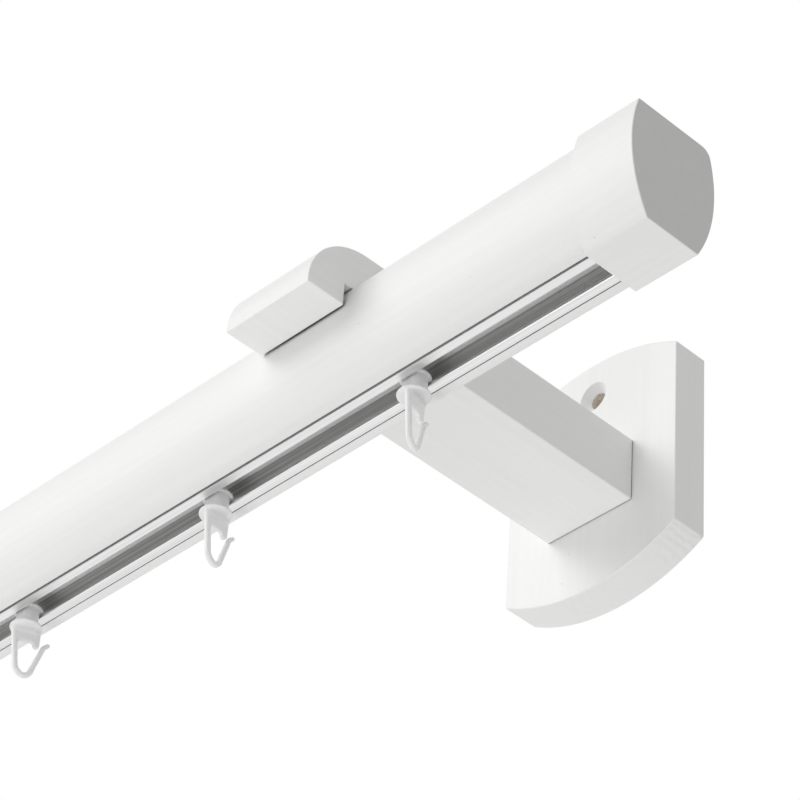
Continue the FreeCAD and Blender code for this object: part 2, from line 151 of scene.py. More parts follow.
def smooth(piece, degrees=35):
    """Smooth shading over rounded edges, with the flat faces kept flat."""
    deselect_all()
    piece.select_set(True)
    bpy.context.view_layer.objects.active = piece
    bpy.ops.object.shade_smooth_by_angle(angle=math.radians(degrees))
    modifier = piece.modifiers.new("even", "WEIGHTED_NORMAL")
    modifier.keep_sharp = True
    bpy.ops.object.modifier_apply(modifier=modifier.name)


def side_arc(low, high, flat_top, flat_bottom, bulge, side):
    """The arc of a bulging side: its radius, its centre, its top point and the angle it spans."""
    middle_y = (low.y + high.y) / 2
    top = Vector((0, middle_y + side * flat_top / 2, high.z))
    bottom = Vector((0, middle_y + side * flat_bottom / 2, low.z))
    chord = (bottom - top).length
    outward = Vector((0, top.z - bottom.z, bottom.y - top.y)).normalized() * side
    radius = (chord ** 2 / 4 + bulge ** 2) / (2 * bulge)
    centre = (top + bottom) / 2 - outward * (radius - bulge)
    return radius, centre, top, 2 * math.asin(chord / 2 / radius)


def bulging_bar(name, low, high, flat_top, flat_bottom, bulge):
    """A bar along X with a flat top and underside, and sides spun as arcs from edge to edge."""
    low, high = Vector(low), Vector(high)
    centre = (low + high) / 2
    bar = block(name, low, high)
    edit(bar)
    for height, width in ((high.z, flat_top), (low.z, flat_bottom)):
        select(bar, "FACE", lambda face: near(middle(face).z, height))
        bpy.ops.transform.resize(value=(1, width / (high.y - low.y), 1), center_override=centre)
    select(bar, "FACE", lambda face: abs(face.normal.z) < 0.5)
    bpy.ops.mesh.delete(type="FACE")
    for side in (-1, 1):
        arc_centre, top, sweep = side_arc(low, high, flat_top, flat_bottom, bulge, side)[1:]
        select(bar, "EDGE", lambda edge: runs_along(edge, 0) and near(middle(edge).z, high.z)
               and near(middle(edge).y, top.y))
        bpy.ops.mesh.spin(steps=arc_steps, angle=side * sweep, center=arc_centre, axis=(1, 0, 0))
    bpy.ops.mesh.select_all(action="SELECT")
    bpy.ops.mesh.remove_doubles(threshold=join_distance)
    for end in (low.x, high.x):
        select(bar, "EDGE", lambda edge: near(middle(edge).x, end))
        bpy.ops.mesh.edge_face_add()
    bpy.ops.mesh.select_all(action="SELECT")
    bpy.ops.mesh.normals_make_consistent(inside=False)
    deselect_all()
    return bar


def is_long_corner(edge, low, high):
    """True for the edges along X where the sides of a bulging bar meet its top and underside."""
    height = middle(edge).z
    return runs_along(edge, 0) and (near(height, low.z) or near(height, high.z))


wood_pole = bulging_bar("wood_pole", pole_low, pole_high, pole_top_width, pole_bottom_width,
                        pole_side_bulge)
round_edges(wood_pole, pole_edge_round, segments=4,
            test=lambda edge: is_long_corner(edge, pole_low, pole_high))
groove_front = track_low.y - groove_front_gap
groove_back = track_high.y + groove_back_gap
cut(wood_pole, block("groove", (pole_low.x - past_end, groove_front, pole_low.z - past_end),
                     (pole_high.x + past_end, groove_back, track_high.z)))
smooth(wood_pole)


def linear(hex_colour):
    """A linear colour from an sRGB hex value."""
    channels = [int(hex_colour[i:i + 2], 16) / 255 for i in (1, 3, 5)]
    return [c / 12.92 if c <= 0.04045 else ((c + 0.055) / 1.055) ** 2.4 for c in channels] + [1]


def add_node(tree, kind, settings=None, **links):
    """Adds a node, sets its properties and sockets, and links its inputs to other sockets."""
    node = tree.nodes.new(kind)
    for key, value in (settings or {}).items():
        if hasattr(node, key):
            setattr(node, key, value)
        else:
            node.inputs[key].default_value = value
    for key, source in links.items():
        tree.links.new(source, node.inputs[key.replace("_", " ")])
    return node


def new_material(name):
    """A material with its own Principled shader, ready for nodes."""
    material = bpy.data.materials.new(name)
    material.use_nodes = True
    return material, material.node_tree, material.node_tree.nodes["Principled BSDF"]


def object_pattern(tree, across, along, turn=(0, 0, 0)):
    """Object coordinates stretched along one direction, in units of the pattern's own spacing."""
    place = add_node(tree, "ShaderNodeTexCoord").outputs["Object"]
    turned_place = add_node(tree, "ShaderNodeMapping", {"Rotation": turn}, Vector=place)
    return add_node(tree, "ShaderNodeMapping", {"Scale": (1 / along, 1 / across, 1 / across)},
                    Vector=turned_place.outputs["Vector"]).outputs["Vector"]


def painted_joint_shade(tree, colour, share):
    """Paints shade into a colour inside narrow joints, where little light gets in."""
    openness = add_node(tree, "ShaderNodeAmbientOcclusion", {"samples": 8, "Distance": joint_reach})
    reach = {"From Min": shut_joint, "From Max": open_joint, "To Min": share}
    shade = add_node(tree, "ShaderNodeMapRange", reach, Value=openness.outputs["AO"])
    dimmed = add_node(tree, "ShaderNodeVectorMath", {"operation": "SCALE"}, Vector=colour,
                      Scale=shade.outputs["Result"])
    return dimmed.outputs["Vector"]


def white_lacquered_wood(name, turn, grain_depth):
    """White lacquer sprayed on sanded wood whose grain runs along X after the turn.

    It gives the eye a satin white, a faint orange peel, a rare speck of dust caught in the spray
    and, in low light, the trace of the grain. Painted shade darkens it in narrow joints.
    """
    material, tree, shader = new_material(name)
    grain = add_node(tree, "ShaderNodeTexNoise", {"Scale": 1.0, "Detail": 4.0, "Distortion": 0.3},
                     Vector=object_pattern(tree, grain_width, grain_length, turn)).outputs["Fac"]
    peel = add_node(tree, "ShaderNodeTexNoise", {"Scale": 1.0, "Detail": 2.0},
                    Vector=object_pattern(tree, peel_width, peel_width)).outputs["Fac"]
    tint = add_node(tree, "ShaderNodeValToRGB", Fac=grain)
    tint.color_ramp.elements[0].position = 0.3
    tint.color_ramp.elements[0].color = linear("#F3F3F2")
    tint.color_ramp.elements[1].position = 0.7
    tint.color_ramp.elements[1].color = linear("#F6F6F5")
    dust = add_node(tree, "ShaderNodeTexVoronoi", {"Scale": 1.0},
                    Vector=object_pattern(tree, dust_spacing, dust_spacing)).outputs["Distance"]
    speck = add_node(tree, "ShaderNodeMapRange", {"From Min": 0.012, "From Max": 0.028, "To Min": 0.6},
                     Value=dust).outputs["Result"]
    paint = add_node(tree, "ShaderNodeVectorMath", {"operation": "SCALE"}, Vector=tint.outputs["Color"],
                     Scale=speck)
    # Painted shade in narrow joints.
    paint_with_joint_shade = painted_joint_shade(tree, paint.outputs["Vector"], share=0.22)
    tree.links.new(paint_with_joint_shade, shader.inputs["Base Color"])
    gloss = add_node(tree, "ShaderNodeMapRange", {"To Min": 0.42, "To Max": 0.52}, Value=peel)
    tree.links.new(gloss.outputs["Result"], shader.inputs["Roughness"])
    grain_bump = add_node(tree, "ShaderNodeBump", {"Strength": 1.0, "Distance": grain_depth},
                          Height=grain)
    skin_bump = add_node(tree, "ShaderNodeBump", {"Strength": 1.0, "Distance": peel_depth},
                         Height=peel, Normal=grain_bump.outputs["Normal"])
    tree.links.new(skin_bump.outputs["Normal"], shader.inputs["Normal"])
    return material


def dress(piece, material, body, slot, *nodes):
    """Gives a piece its material and its body, and hides the CAD nodes that it stands for. Its slot is
    not used.
    """
    piece.data.materials.clear()
    piece.data.materials.append(material)
    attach(piece, body)
    if nodes:
        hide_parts(*nodes)


along_x = (0, 0, 0)
along_y = (0, 0, math.radians(90))
along_z = (0, math.radians(90), 0)
pole_wood = white_lacquered_wood("lacquered_pole_wood", along_x, pole_grain_depth)
dress(wood_pole, pole_wood, "rod", "white_lacquered_wood", "pole")

# The glider track is an aluminium extrusion, a channel whose two lips leave a slot between them. The
# die leaves fine streaks along it, and it is etched and anodised. Screws through its roof hold it in
# the groove.
track_wall = 0.8 * mm
lip_thickness = 1.0 * mm
track_roof = 1.0 * mm
slot_width = 5.2 * mm
lip_round = 0.32 * mm
track_edge_round = 0.15 * mm
bright_height = 0.6 * mm
streak_width = 0.4 * mm
streak_length = 120 * mm
streak_depth = 0.01 * mm
track_middle = (track_low.y + track_high.y) / 2
lip_top = track_low.z + lip_thickness
roof_underside = track_high.z - track_roof

glider_track = block("glider_track", track_low, track_high)
cut(glider_track, block("chamber", (track_low.x - past_end, track_low.y + track_wall, lip_top),
                        (track_high.x + past_end, track_high.y - track_wall, roof_underside)))
slot_front = track_middle - slot_width / 2
slot_back = track_middle + slot_width / 2
cut(glider_track, block("slot", (track_low.x - past_end, slot_front, track_low.z - past_end),
                        (track_high.x + past_end, slot_back, lip_top + past_end)))


def is_lip_edge(edge):
    return runs_along(edge, 0) and near(abs(middle(edge).y - track_middle), slot_width / 2)


def is_other_long_edge(edge):
    return (runs_along(edge, 0) and edge.calc_face_angle(0) > math.radians(60)
            and not is_lip_edge(edge))


round_edges(glider_track, lip_round, segments=4, test=is_lip_edge)
round_edges(glider_track, track_edge_round, segments=2, test=is_other_long_edge)
smooth(glider_track)


def drawn_aluminium(name, dark, light, metallic):
    """Aluminium drawn through a die, etched and anodised.

    It gives the eye a soft metal with streaks along it. The streaks are 0.1 mm wide in life and are
    drawn 0.4 mm wide, so that they show. The oxide scatters a share of the light. Painted shade
    darkens it in narrow joints.
    """
    material, tree, shader = new_material(name)
    streaks = add_node(tree, "ShaderNodeTexNoise", {"Scale": 1.0, "Detail": 5.0},
                       Vector=object_pattern(tree, streak_width, streak_length)).outputs["Fac"]
    tint = add_node(tree, "ShaderNodeValToRGB", Fac=streaks)
    tint.color_ramp.elements[0].position = 0.35
    tint.color_ramp.elements[0].color = linear(dark)
    tint.color_ramp.elements[1].position = 0.65
    tint.color_ramp.elements[1].color = linear(light)
    # Painted shade in narrow joints.
    metal_with_joint_shade = painted_joint_shade(tree, tint.outputs["Color"], share=0.45)
    tree.links.new(metal_with_joint_shade, shader.inputs["Base Color"])
    gloss = add_node(tree, "ShaderNodeMapRange", {"To Min": 0.28, "To Max": 0.4}, Value=streaks)
    tree.links.new(gloss.outputs["Result"], shader.inputs["Roughness"])
    bump = add_node(tree, "ShaderNodeBump", {"Strength": 1.0, "Distance": streak_depth}, Height=streaks)
    tree.links.new(bump.outputs["Normal"], shader.inputs["Normal"])
    shader.inputs["Metallic"].default_value = metallic
    return material


def add_material(piece, material, test):
    """Gives a further material to the faces of a dressed piece that pass the test."""
    piece.data.materials.append(material)
    for face in piece.data.polygons:
        if test(face):
            face.material_index = len(piece.data.materials) - 1


def is_above_lips(face):
    return face.center.z > track_low.z + bright_height


def is_inner_wall(face):
    half_width = (track_high.y - track_low.y - track_wall) / 2
    return (lip_top < face.center.z < roof_underside and abs(face.normal.y) > 0.5
            and abs(face.center.y - track_middle) < half_width)


# The underside of the lips is bright metal. Above it a lighter, matt copy of the metal is painted
# light that brightens the roof of the channel, and the walls inside the channel get a darker copy,
# painted shade.
bright_aluminium = drawn_aluminium("bright_aluminium", "#E6E7E7", "#F6F6F6", metallic=1.0)
dress(glider_track, bright_aluminium, "rod", "aluminium", "track")
# A lighter matt copy, painted light on the roof of the channel.
painted_light_aluminium = drawn_aluminium("painted_light_aluminium", "#E8E8E8", "#FAFAFA", metallic=0.0)
add_material(glider_track, painted_light_aluminium, is_above_lips)
# A darker copy, painted shade on the walls inside the channel.
painted_shade_aluminium = drawn_aluminium("painted_shade_aluminium", "#A6A6A4", "#CECECC", metallic=0.5)
add_material(glider_track, painted_shade_aluminium, is_inner_wall)

# Four pan-head screws hold the roof of the track up in the groove. They are pressed from steel wire
# and zinc plated, with a cross recess in the head for the driver.
screw_sides = 32
track_screw_places = 4
track_screw_inset = 65.0 * mm
track_screw_length = 13.5 * mm
track_screw_radius = 1.5 * mm
track_screw_head = 1.5 * mm
track_screw_head_radius = 2.5 * mm
track_recess_reach = 1.4 * mm
track_recess_depth = 1.0 * mm
screw_tip = 4.0 * mm
recess_width = 0.9 * mm
recess_taper = (0.35, 0.6, 1)
zinc_cloud_width = 0.8 * mm


def turned(name, rings, sides):
    """A piece turned about Z, drawn up ring by ring; each ring is a radius and a height."""
    radius, height = rings[0]
    deselect_all()
    bpy.ops.mesh.primitive_circle_add(vertices=sides, radius=radius, fill_type="NGON",
                                      location=(0, 0, height))
    piece = named(name)
    edit(piece)
    bpy.ops.mesh.select_all(action="SELECT")
    for (last_radius, last_height), (radius, height) in zip(rings, rings[1:]):
        bpy.ops.mesh.extrude_region_move(TRANSFORM_OT_translate={"value": (0, 0, height - last_height)})
        bpy.ops.transform.resize(value=(radius / last_radius, radius / last_radius, 1),
                                 center_override=(0, 0, height))
    bpy.ops.mesh.select_all(action="SELECT")
    bpy.ops.mesh.normals_make_consistent(inside=False)
    deselect_all()
    return piece


def cross_recessed(piece, reach, depth):
    """Sinks the two crossed wings of a driver's recess into the face of a screw's head."""
    for turn in (0, 90):
        wing = block("wing", (-reach, -recess_width / 2, -past_end), (reach, recess_width / 2, depth))
        edit(wing)
        select(wing, "FACE", lambda face: near(middle(face).z, depth))
        bpy.ops.transform.resize(value=recess_taper, center_override=(0, 0, depth))
        deselect_all()
        wing.select_set(True)
        bpy.context.view_layer.objects.active = wing
        wing.rotation_euler.z = math.radians(turn)
        bpy.ops.object.transform_apply()
        cut(piece, wing)


def screw(name, rings, length, recess_reach, recess_depth):
    """A wood screw about Z, its head's face at zero and its point up. The last ring is the shank's."""
    shank_radius = rings[-1][0]
    point = [(shank_radius, length - screw_tip), (shank_radius / 4, length)]
    piece = turned(name, rings + point, screw_sides)
    cross_recessed(piece, recess_reach, recess_depth)
    smooth(piece)
    return piece


def copied(piece, name, place, direction=(0, 0, 1), turn=0.0):
    """A copy with its own mesh, moved to its place, pointing along direction."""
    copy = piece.copy()
    copy.data = piece.data.copy()
    bpy.context.scene.collection.objects.link(copy)
    deselect_all()
    copy.select_set(True)
    bpy.context.view_layer.objects.active = copy
    point = Vector((0, 0, 1)).rotation_difference(Vector(direction)).to_matrix().to_4x4()
    copy.matrix_world = Matrix.Translation(Vector(place)) @ point @ Matrix.Rotation(turn, 4, "Z")
    return named(name)


def zinc_plated_steel():
    """Bright zinc plate on pressed steel.

    It gives the eye a light bluish metal with a fine cloudy mottle.
    """
    material, tree, shader = new_material("zinc_plated_steel")
    clouds = add_node(tree, "ShaderNodeTexNoise", {"Scale": 1.0, "Detail": 3.0},
                      Vector=object_pattern(tree, zinc_cloud_width, zinc_cloud_width)).outputs["Fac"]
    tint = add_node(tree, "ShaderNodeValToRGB", Fac=clouds)
    tint.color_ramp.elements[0].position = 0.35
    tint.color_ramp.elements[0].color = linear("#C3C8CC")
    tint.color_ramp.elements[1].position = 0.65
    tint.color_ramp.elements[1].color = linear("#DADDDF")
    tree.links.new(tint.outputs["Color"], shader.inputs["Base Color"])
    gloss = add_node(tree, "ShaderNodeMapRange", {"To Min": 0.2, "To Max": 0.34}, Value=clouds)
    tree.links.new(gloss.outputs["Result"], shader.inputs["Roughness"])
    shader.inputs["Metallic"].default_value = 1.0
    return material


zinc = zinc_plated_steel()
pan_head = [(1.2 * mm, 0), (1.9 * mm, 0.15 * mm), (2.35 * mm, 0.5 * mm),
            (track_screw_head_radius, 1.0 * mm), (track_screw_head_radius, track_screw_head),
            (track_screw_radius, track_screw_head)]
plain_track_screw = screw("track_screw", pan_head, track_screw_length, track_recess_reach,
                          track_recess_depth)
first_x = track_low.x + track_screw_inset
screw_gap = (track_high.x - track_low.x - 2 * track_screw_inset) / (track_screw_places - 1)
for i in range(track_screw_places):
    place = (first_x + i * screw_gap, track_middle, roof_underside - track_screw_head)
    dress(copied(plain_track_screw, "track_screw_%d" % (i + 1), place), zinc, "rod",
          "zinc_plated_steel", "track_screws")
bpy.data.objects.remove(plain_track_screw)

# Ten gliders run on the lips of the track, moulded in white acetal. Each is a round plate, bevelled
# above its thin rim, with an oblong neck down through the slot. The hook's pin snaps in its bore.
glider_sides = 48
slider_radius = 3.85 * mm
slider_thickness = 1.6 * mm
slider_rim = 0.5 * mm
slider_top_radius = 2.7 * mm
slider_edge_round = 0.2 * mm
neck_radius = 2.3 * mm
neck_length = 6.6 * mm
pin_bore_radius = 1.3 * mm
pin_sink_radius = 1.95 * mm
pin_sink_depth = 0.9 * mm
spark_width = 0.35 * mm
spark_depth = 0.008 * mm
flow_width = 5 * mm
light_reach = 2.0 * mm


def moulded_acetal():
    """White acetal, injection moulded.

    It gives the eye a soft, slightly waxy white with a faint spark-eroded texture from the mould.
    The texture is 0.1 mm in life and is drawn 0.35 mm wide, so that it shows.
    """
    material, tree, shader = new_material("moulded_acetal")
    spark = add_node(tree, "ShaderNodeTexNoise", {"Scale": 1.0, "Detail": 2.0},
                     Vector=object_pattern(tree, spark_width, spark_width)).outputs["Fac"]
    flow = add_node(tree, "ShaderNodeTexNoise", {"Scale": 1.0, "Detail": 1.0},
                    Vector=object_pattern(tree, flow_width, flow_width)).outputs["Fac"]
    tint = add_node(tree, "ShaderNodeValToRGB", Fac=flow)
    tint.color_ramp.elements[0].position = 0.3
    tint.color_ramp.elements[0].color = linear("#F8F8F7")
    tint.color_ramp.elements[1].position = 0.7
    tint.color_ramp.elements[1].color = linear("#FDFDFC")
    tree.links.new(tint.outputs["Color"], shader.inputs["Base Color"])
    gloss = add_node(tree, "ShaderNodeMapRange", {"To Min": 0.38, "To Max": 0.5}, Value=spark)
    tree.links.new(gloss.outputs["Result"], shader.inputs["Roughness"])
    bump = add_node(tree, "ShaderNodeBump", {"Strength": 1.0, "Distance": spark_depth}, Height=spark)
    tree.links.new(bump.outputs["Normal"], shader.inputs["Normal"])
    shader.inputs["Subsurface Weight"].default_value = 0.5
    shader.inputs["Subsurface Radius"].default_value = (1.0, 1.0, 1.0)
    shader.inputs["Subsurface Scale"].default_value = light_reach
    return material


acetal = moulded_acetal()


def join(piece, *others):
    deselect_all()
    for other in others:
        other.select_set(True)
    piece.select_set(True)
    bpy.context.view_layer.objects.active = piece
    bpy.ops.object.join()


def glider_neck(name, height):
    """An oblong bar: a round one whose halves are drawn apart along X."""
    neck = turned(name, [(neck_radius, 0), (neck_radius, height)], glider_sides)
    edit(neck)
    for side in (-1, 1):
        select(neck, "VERT", lambda vertex: vertex.co.x * side > join_distance)
        bpy.ops.transform.translate(value=(side * (neck_length / 2 - neck_radius), 0, 0))
    deselect_all()
    return neck


glider_low, glider_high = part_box("glider_01")
glider_height = glider_high.z - glider_low.z
plate_bottom = glider_height - slider_thickness
bevelled_plate = [(slider_radius, plate_bottom), (slider_radius, plate_bottom + slider_rim),
                  (slider_top_radius, glider_height)]
plain_glider = turned("glider", bevelled_plate, glider_sides)
round_edges(plain_glider, slider_edge_round, segments=3,
            test=lambda edge: edge.calc_face_angle(0) > math.radians(30))
merged = plain_glider.modifiers.new("neck", "BOOLEAN")
merged.operation = "UNION"
merged.solver = "MANIFOLD"
merged.object = glider_neck("neck", plate_bottom + slider_thickness / 2)
bpy.context.view_layer.objects.active = plain_glider
bpy.ops.object.modifier_apply(modifier=merged.name)
bpy.data.objects.remove(bpy.data.objects["neck"])
for radius, depth in ((pin_bore_radius, glider_height + past_end), (pin_sink_radius, pin_sink_depth)):
    deselect_all()
    bpy.ops.mesh.primitive_cylinder_add(vertices=glider_sides, radius=radius, depth=2 * depth,
                                        location=(0, 0, glider_height))
    cut(plain_glider, named("pin_bore"))
smooth(plain_glider)
glider_names = sorted(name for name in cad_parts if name.startswith("glider_"))
for node in glider_names:
    low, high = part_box(node)
    place = ((low.x + high.x) / 2, (low.y + high.y) / 2, low.z)
    number = node[len("glider_"):]
    slider = copied(plain_glider, "slider_" + number, place)
    dress(slider, acetal, "slider_" + number, "white_plastic", node)
bpy.data.objects.remove(plain_glider)

# A hook hangs from each glider and swivels in it. It is one acetal moulding: a pin with a snap
# head, a disc, a rib and a web under the disc that end in a lug, and a stem bent into a hook.
hook_angles = [107, 95, 68, 80, 98, 60, 110, 84, 101, 72]
disc_underside = pole_low.z - 4.0 * mm
disc_radius = 4.05 * mm
disc_thickness = 0.7 * mm
disc_round = 0.25 * mm
pin_radius = 1.25 * mm
snap_radius = 1.75 * mm
snap_head_height = 0.8 * mm
hook_offset = 0.15 * mm
stem_reach = 3.0 * mm
rib_thickness = 1.9 * mm
rib_depth = 1.2 * mm
rib_end = 3.15 * mm
web_thickness = 1.3 * mm
web_depth = 3.5 * mm
web_slope = 0.2 * mm
lug_inner = 2.35 * mm
lug_outer = 3.95 * mm
lug_depth = 5.1 * mm
lug_round = 0.75 * mm
lug_root_round = 0.5 * mm
wire_diameter = 1.58 * mm
# Reach, depth below the disc and share of the full thickness, from the disc round to the tip
wire_route = [(-3.0, -0.3, 1.0), (-1.5, 10.4, 1.0), (-1.38, 11.2, 1.0), (-1.05, 12.1, 1.0),
              (-0.18, 13.07, 1.0), (1.0, 13.6, 1.0), (2.55, 12.5, 0.97), (2.75, 11.9, 0.96),
              (4.85, 5.2, 0.86), (5.15, 4.3, 0.82), (6.2, 3.3, 0.74)]
voxel = 0.17 * mm
skin_passes = 10


def web_and_lug():
    """The plate under the disc; its far end is drawn down into the lug and rounded."""
    half = web_thickness / 2
    web = block("web", (-stem_reach, -hook_offset - half, -web_depth),
                (lug_outer, -hook_offset + half, disc_thickness / 2))
    edit(web)
    bpy.ops.mesh.select_all(action="SELECT")
    bpy.ops.mesh.bisect(plane_co=(lug_inner, 0, 0), plane_no=(1, 0, 0))
    select(web, "FACE", lambda face: face.normal.z < -0.5 and middle(face).x > lug_inner)
    bpy.ops.mesh.extrude_region_move(TRANSFORM_OT_translate={"value": (0, 0, web_depth - lug_depth)})
    select(web, "VERT", lambda vertex: near(vertex.co.x, lug_inner) and near(vertex.co.z, -web_depth))
    bpy.ops.transform.translate(value=(0, 0, -web_slope))
    deselect_all()
    round_edges(web, lug_root_round, segments=6,
                test=lambda edge: runs_along(edge, 1) and near(middle(edge).x, lug_inner)
                and near(middle(edge).z, -web_depth - web_slope))
    round_edges(web, lug_round, segments=6,
                test=lambda edge: runs_along(edge, 1) and near(middle(edge).z, -lug_depth))
    return web


def bent_wire():
    """The stem and hook, drawn as a smooth curve that tapers towards a ball end."""
    deselect_all()
    bpy.ops.curve.primitive_bezier_curve_add()
    wire = bpy.context.object
    points = wire.data.splines[0].bezier_points
    points.add(len(wire_route) - 2)
    for point, (reach, depth, share) in zip(points, wire_route):
        point.co = (reach * mm, -hook_offset, -depth * mm)
        point.handle_left_type = point.handle_right_type = "AUTO"
        point.radius = share
    wire.data.bevel_depth = wire_diameter / 2
    wire.data.bevel_resolution = 6
    wire.data.resolution_u = 10
    wire.data.use_fill_caps = True
    bpy.ops.object.convert(target="MESH")
    wire = named("wire")
    reach, depth, share = wire_route[-1]
    deselect_all()
    bpy.ops.mesh.primitive_uv_sphere_add(segments=20, ring_count=12, radius=wire_diameter / 2 * share,
                                         location=(reach * mm, -hook_offset, -depth * mm))
    join(wire, named("ball_end"))
    return wire


pin_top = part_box("hook_01")[1].z - disc_underside
pin_neck = pin_top - snap_head_height
rim_cut = disc_round * (1 - math.sqrt(0.5))
rib = block("rib", (-stem_reach, -hook_offset - rib_thickness / 2, -rib_depth),
            (rib_end, -hook_offset + rib_thickness / 2, disc_thickness / 2))
disc_and_pin = [(disc_radius - disc_round, 0), (disc_radius - rim_cut, rim_cut),
                (disc_radius, disc_round), (disc_radius, disc_thickness), (pin_radius, disc_thickness),
                (pin_radius, pin_neck), (snap_radius, pin_neck), (pin_radius, pin_top)]
plain_hook = turned("hook", disc_and_pin, glider_sides)
join(plain_hook, rib, web_and_lug(), bent_wire())
skin = plain_hook.modifiers.new("skin", "REMESH")
skin.mode = "VOXEL"
skin.voxel_size = voxel
bpy.ops.object.modifier_apply(modifier=skin.name)
even = plain_hook.modifiers.new("even", "SMOOTH")
even.factor = 0.5
even.iterations = skin_passes
bpy.ops.object.modifier_apply(modifier=even.name)
bpy.ops.object.shade_smooth()
for node, angle in zip(glider_names, hook_angles):
    low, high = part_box(node)
    place = ((low.x + high.x) / 2, (low.y + high.y) / 2, disc_underside)
    number = node[len("glider_"):]
    hook = copied(plain_hook, "curtain_hook_" + number, place, turn=math.radians(angle))
    dress(hook, acetal, "swivel_hook_" + number, "white_plastic", "hook_" + number)
bpy.data.objects.remove(plain_hook)

# The end caps are short blocks of the pole's form, a little larger all round. Each is glued on a
# dowel, lacquered white like the pole, with one rounded corner at the back of its top.
cap_top_width = 22.6 * mm
cap_bottom_width = 16.0 * mm
cap_side_bulge = 3.45 * mm
cap_rear_round = 3.0 * mm
cap_edge_round = 0.3 * mm
cap_grain_depth = 0.004 * mm
# The share of the colour left on the caps' ends under their painted shade.
end_shade = 0.7


def trim_round(piece, centre, radius, start, end, steps):
    """Rounds a corner that runs along X with flat cuts, each tangent to the rounding's circle."""
    edit(piece)
    for step in range(steps):
        angle = start + (end - start) * (step + 0.5) / steps
        outward = Vector((0, math.cos(angle), math.sin(angle)))
        bpy.ops.mesh.select_all(action="SELECT")
        bpy.ops.mesh.bisect(plane_co=centre + outward * radius, plane_no=outward, use_fill=True,
                            clear_outer=True, threshold=join_distance)
    deselect_all()


def end_cap(name, node, outer_end):
    low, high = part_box(node)
    cap = bulging_bar(name, low, high, cap_top_width, cap_bottom_width, cap_side_bulge)
    radius, arc_centre = side_arc(low, high, cap_top_width, cap_bottom_width, cap_side_bulge, 1)[:2]
    height = high.z - cap_rear_round
    reach = math.sqrt((radius - cap_rear_round) ** 2 - (height - arc_centre.z) ** 2)
    centre = Vector((0, arc_centre.y + reach, height))
    side_angle = math.atan2(centre.z - arc_centre.z, centre.y - arc_centre.y)
    trim_round(cap, centre, cap_rear_round, side_angle, math.radians(90), steps=9)
    round_edges(cap, cap_edge_round, segments=3,
                test=lambda edge: near(middle(edge).x, outer_end)
                or (is_long_corner(edge, low, high) and edge.calc_face_angle(0) > math.radians(40)))
    smooth(cap)
    return cap


def paint_shade_on_ends(material, share):
    """Paints shade on the faces that look along X, so that the ends of the caps stay greyer."""
    tree = material.node_tree
    paint = tree.nodes["Principled BSDF"].inputs["Base Color"]
    facing = add_node(tree, "ShaderNodeSeparateXYZ",
                      Vector=add_node(tree, "ShaderNodeTexCoord").outputs["Normal"]).outputs["X"]
    across = add_node(tree, "ShaderNodeMath", {"operation": "ABSOLUTE"})
    tree.links.new(facing, across.inputs[0])
    reach = {"From Min": 0.8, "From Max": 0.97, "To Min": 1.0, "To Max": share}
    shade = add_node(tree, "ShaderNodeMapRange", reach, Value=across.outputs["Value"])
    dimmed = add_node(tree, "ShaderNodeVectorMath", {"operation": "SCALE"},
                      Vector=paint.links[0].from_socket, Scale=shade.outputs["Result"])
    tree.links.new(dimmed.outputs["Vector"], paint)


cap_wood = white_lacquered_wood("lacquered_cap_wood", along_x, cap_grain_depth)
# Painted shade greys the ends of the caps.
paint_shade_on_ends(cap_wood, end_shade)
for side in ("right", "left"):
    node = "end_cap_" + side
    low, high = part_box(node)
    outer_end = high.x if side == "right" else low.x
    dress(end_cap("cap_" + side, node, outer_end), cap_wood, "rod", "white_lacquered_wood", node)

# Each bracket has an arm of solid wood under the same white lacquer. Its nose is rounded over and
# comes down in front of the pole, and its notch fits over it. A screw goes down into the pole.
nose_radius = 17.2 * mm
notch_gap = 0.25 * mm
arm_edge_round = 0.35 * mm
arm_end_round = 0.3 * mm
arm_grain_depth = 0.003 * mm
down = Vector((0, 0, -1))
screw_clearance = 0.05 * mm
pole_screw_head_radius = 3.8 * mm
pole_screw_radius = 2.0 * mm
hole_sides = 48


def drill(piece, mouth, direction, mouth_radius, bore_radius, depth):
    """Countersinks and drills a piece from the middle of the hole's mouth."""
    turn = Vector(direction).to_track_quat("Z", "Y").to_euler()
    sink = mouth_radius - bore_radius
    deselect_all()
    bpy.ops.mesh.primitive_cone_add(vertices=hole_sides, radius1=mouth_radius + past_end,
                                    radius2=bore_radius, depth=sink + past_end, rotation=turn,
                                    location=mouth + direction * (sink - past_end) / 2)
    cut(piece, named("countersink"))
    deselect_all()
    bpy.ops.mesh.primitive_cylinder_add(vertices=hole_sides, radius=bore_radius, depth=depth,
                                        rotation=turn, location=mouth + direction * depth / 2)
    cut(piece, named("bore"))


def bracket_arm(name, node):
    low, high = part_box(node)
    arm = block(name, low, high)
    round_edges(arm, nose_radius, segments=32,
                test=lambda edge: runs_along(edge, 0) and near(middle(edge).y, low.y)
                and near(middle(edge).z, high.z))
    cut(arm, block("notch", (low.x - past_end, pole_low.y - notch_gap, low.z - past_end),
                   (high.x + past_end, pole_high.y + notch_gap, pole_high.z)))
    round_edges(arm, arm_edge_round, segments=3,
                test=lambda edge: not runs_along(edge, 0) and not near(middle(edge).y, high.y))
    round_edges(arm, arm_end_round, segments=2, test=lambda edge: near(middle(edge).y, high.y))
    drill(arm, Vector(((low.x + high.x) / 2, pole_axis.y, high.z)), down,
          mouth_radius=pole_screw_head_radius + screw_clearance,
          bore_radius=pole_screw_radius + screw_clearance, depth=high.z - pole_axis.z)
    smooth(arm)
    return arm


arm_wood = white_lacquered_wood("lacquered_arm_wood", along_y, arm_grain_depth)
for side in ("right", "left"):
    node = "bracket_arm_" + side
    dress(bracket_arm("arm_" + side, node), arm_wood, "rod", "white_lacquered_wood", node)

